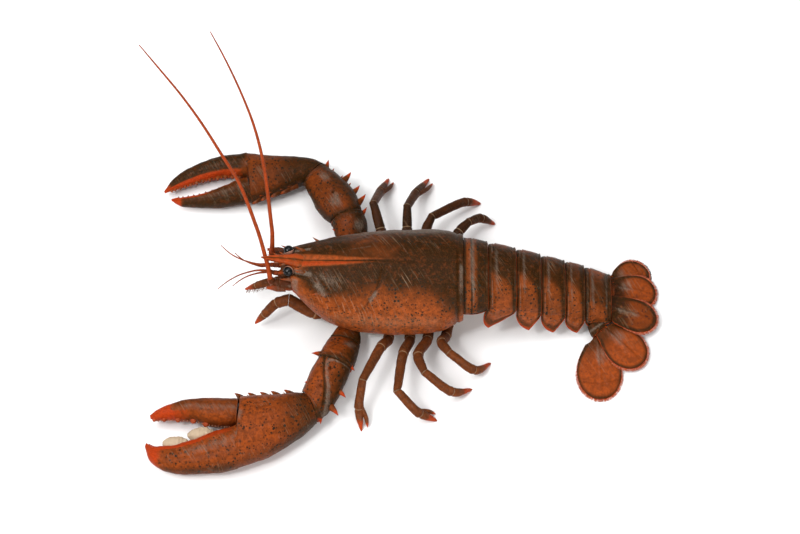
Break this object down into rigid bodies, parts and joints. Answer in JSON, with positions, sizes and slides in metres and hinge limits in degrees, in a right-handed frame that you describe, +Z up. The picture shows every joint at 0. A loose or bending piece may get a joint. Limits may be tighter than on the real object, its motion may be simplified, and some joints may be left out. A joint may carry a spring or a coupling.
{
  "type": "american lobster",
  "caption": "Still, life-size american lobster with open crusher and cutter claws, long swept feelers and a spread tail fan, resting on the floor.",
  "frame": {"origin": "centre of the animal's bounding box, at floor level", "axes": "-X the way the head points, +X toward the tail fan, -Y the animal's left side, +Z up"},
  "size_m": [0.3922, 0.3064, 0.1403],
  "materials": {
    "shell": "dark olive-brown horny shell, semi-gloss",
    "claw": "rust-brown horny shell, semi-gloss",
    "leg": "brown horny shell, semi-gloss",
    "feeler": "orange-red, satin",
    "eye": "black, glossy",
    "pale_shell": "pale tan shell, satin"
  },
  "bodies": {
    "root": {"carapace": "shell", "sternum": "pale_shell", "head": "shell", "eye_left": "eye", "eye_right": "eye", "mandible_left": "pale_shell", "mandible_right": "pale_shell", "abdomen_1": "shell", "abdomen_2": "shell", "abdomen_3": "shell", "abdomen_4": "shell", "abdomen_5": "shell", "abdomen_6": "shell", "telson": "shell", "uropod_left_base": "shell", "uropod_left_inner": "shell", "uropod_left_outer": "shell", "uropod_right_base": "shell", "uropod_right_inner": "shell", "uropod_right_outer": "shell", "cheliped_left_ischium": "claw", "cheliped_left_merus": "claw", "cheliped_left_carpus": "claw", "cheliped_right_ischium": "claw", "cheliped_right_merus": "claw", "cheliped_right_carpus": "claw", "crusher_claw": "claw", "crusher_claw_dactyl": "claw", "cutter_claw": "claw", "cutter_claw_dactyl": "claw", "leg_2_left_upper": "leg", "leg_2_left_lower": "leg", "leg_3_left_upper": "leg", "leg_3_left_lower": "leg", "leg_4_left_upper": "leg", "leg_4_left_lower": "leg", "leg_5_left_upper": "leg", "leg_5_left_lower": "leg", "leg_2_right_upper": "leg", "leg_2_right_lower": "leg", "leg_3_right_upper": "leg", "leg_3_right_lower": "leg", "leg_4_right_upper": "leg", "leg_4_right_lower": "leg", "leg_5_right_upper": "leg", "leg_5_right_lower": "leg", "maxilliped_left_upper": "leg", "maxilliped_left_lower": "leg", "maxilliped_right_upper": "leg", "maxilliped_right_lower": "leg", "antenna_left_base": "feeler", "antenna_left_flagellum": "feeler", "antennule_left": "feeler", "antenna_right_base": "feeler", "antenna_right_flagellum": "feeler", "antennule_right": "feeler"}
  },
  "joints": []
}
